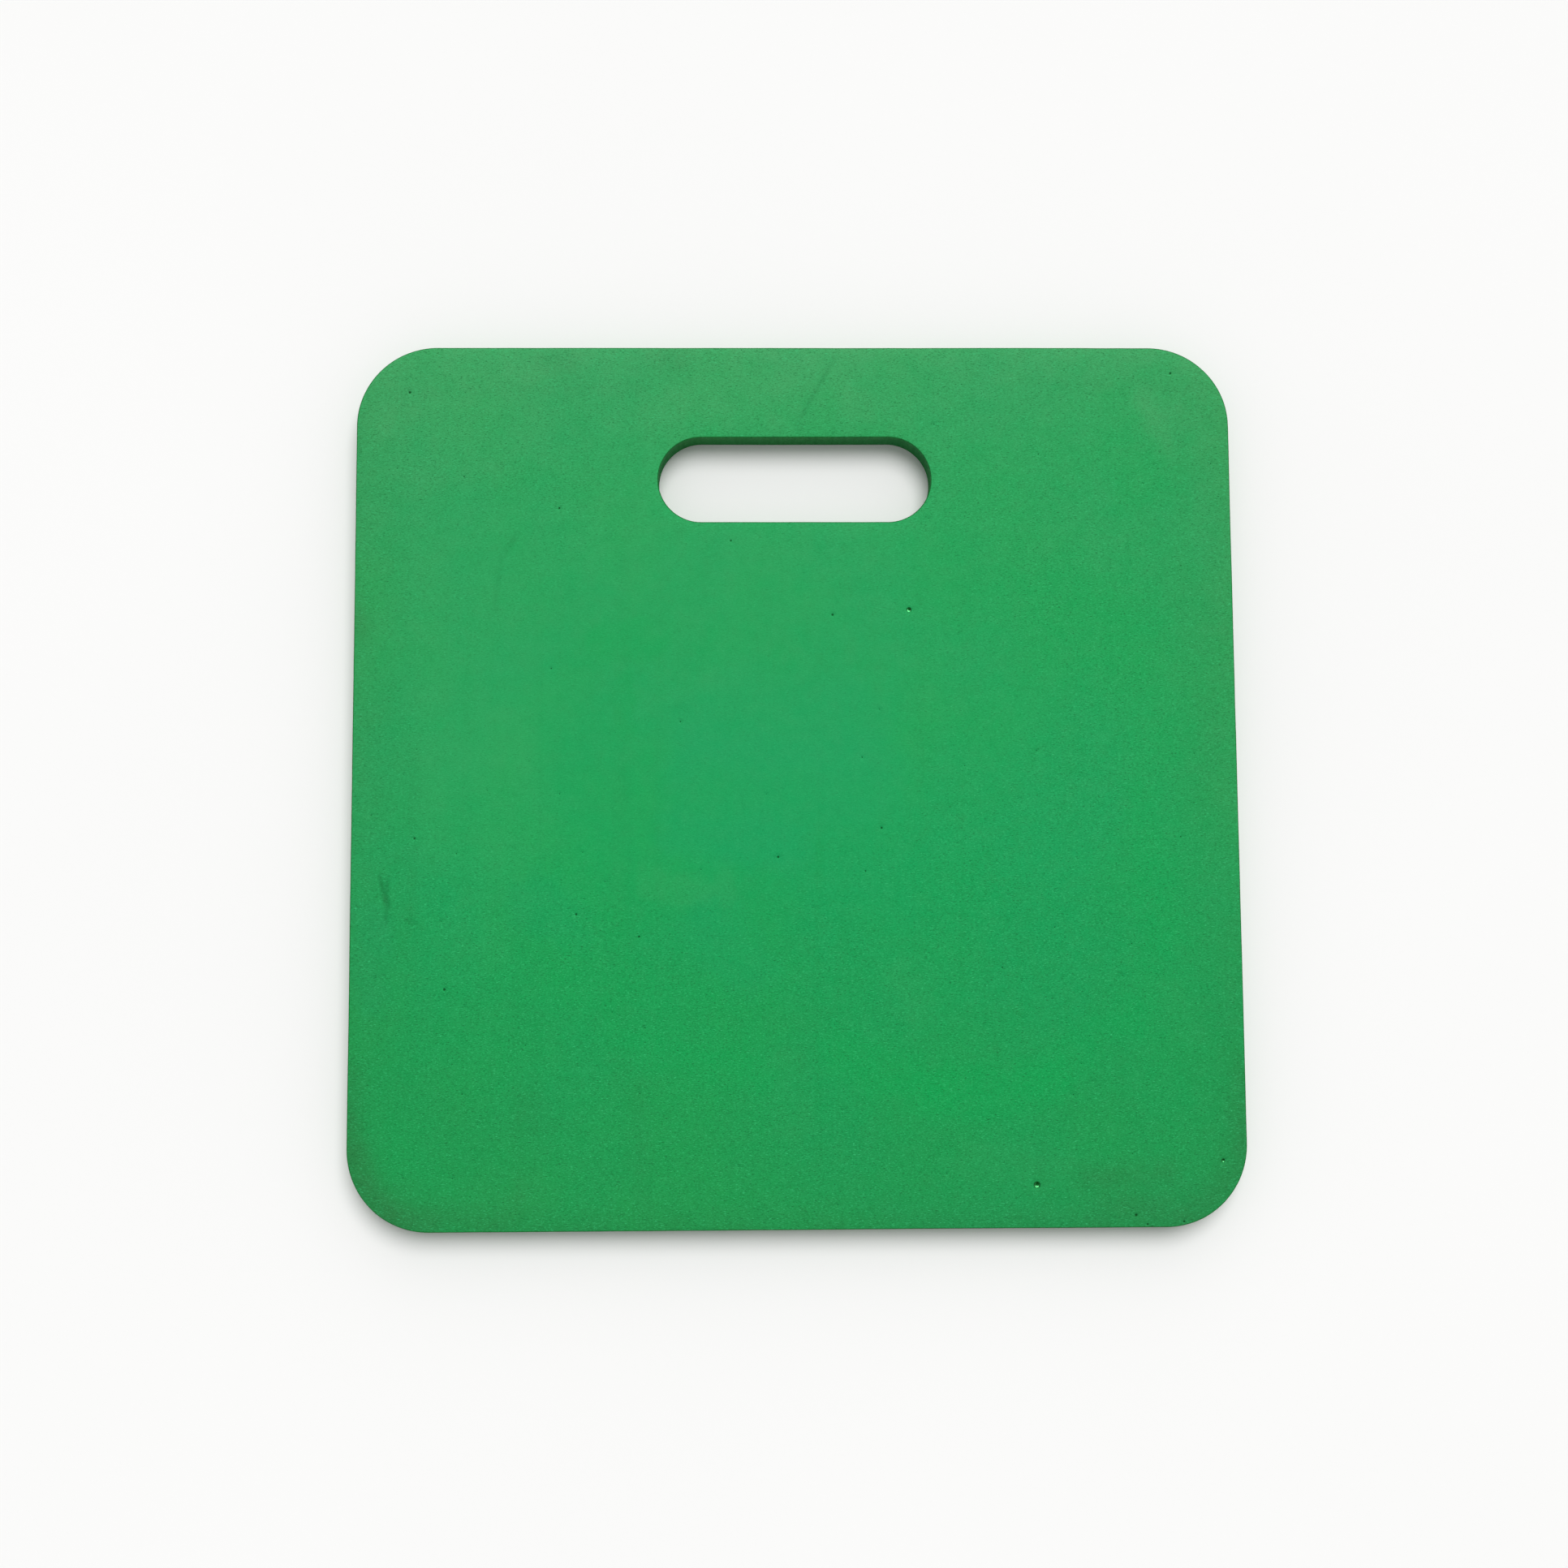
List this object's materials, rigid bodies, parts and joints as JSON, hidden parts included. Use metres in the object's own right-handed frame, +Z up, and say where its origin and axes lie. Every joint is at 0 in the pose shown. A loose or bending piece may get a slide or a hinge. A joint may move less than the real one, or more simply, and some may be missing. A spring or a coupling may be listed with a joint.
{
  "type": "kneeling pad",
  "caption": "Flat square slab of closed-cell foam with round corners and a slot-shaped hand hole near one side, to kneel on in the garden.",
  "frame": {"origin": "on the ground, under the middle of the slab", "axes": "+Z up, out of the face that is knelt on; +Y from the middle towards the side with the hand hole; +X to the right of someone facing +Y"},
  "size_m": [0.3556, 0.3556, 0.0127],
  "materials": {
    "foam": "matte"
  },
  "bodies": {
    "root": {"foam_pad": "foam"}
  },
  "joints": []
}
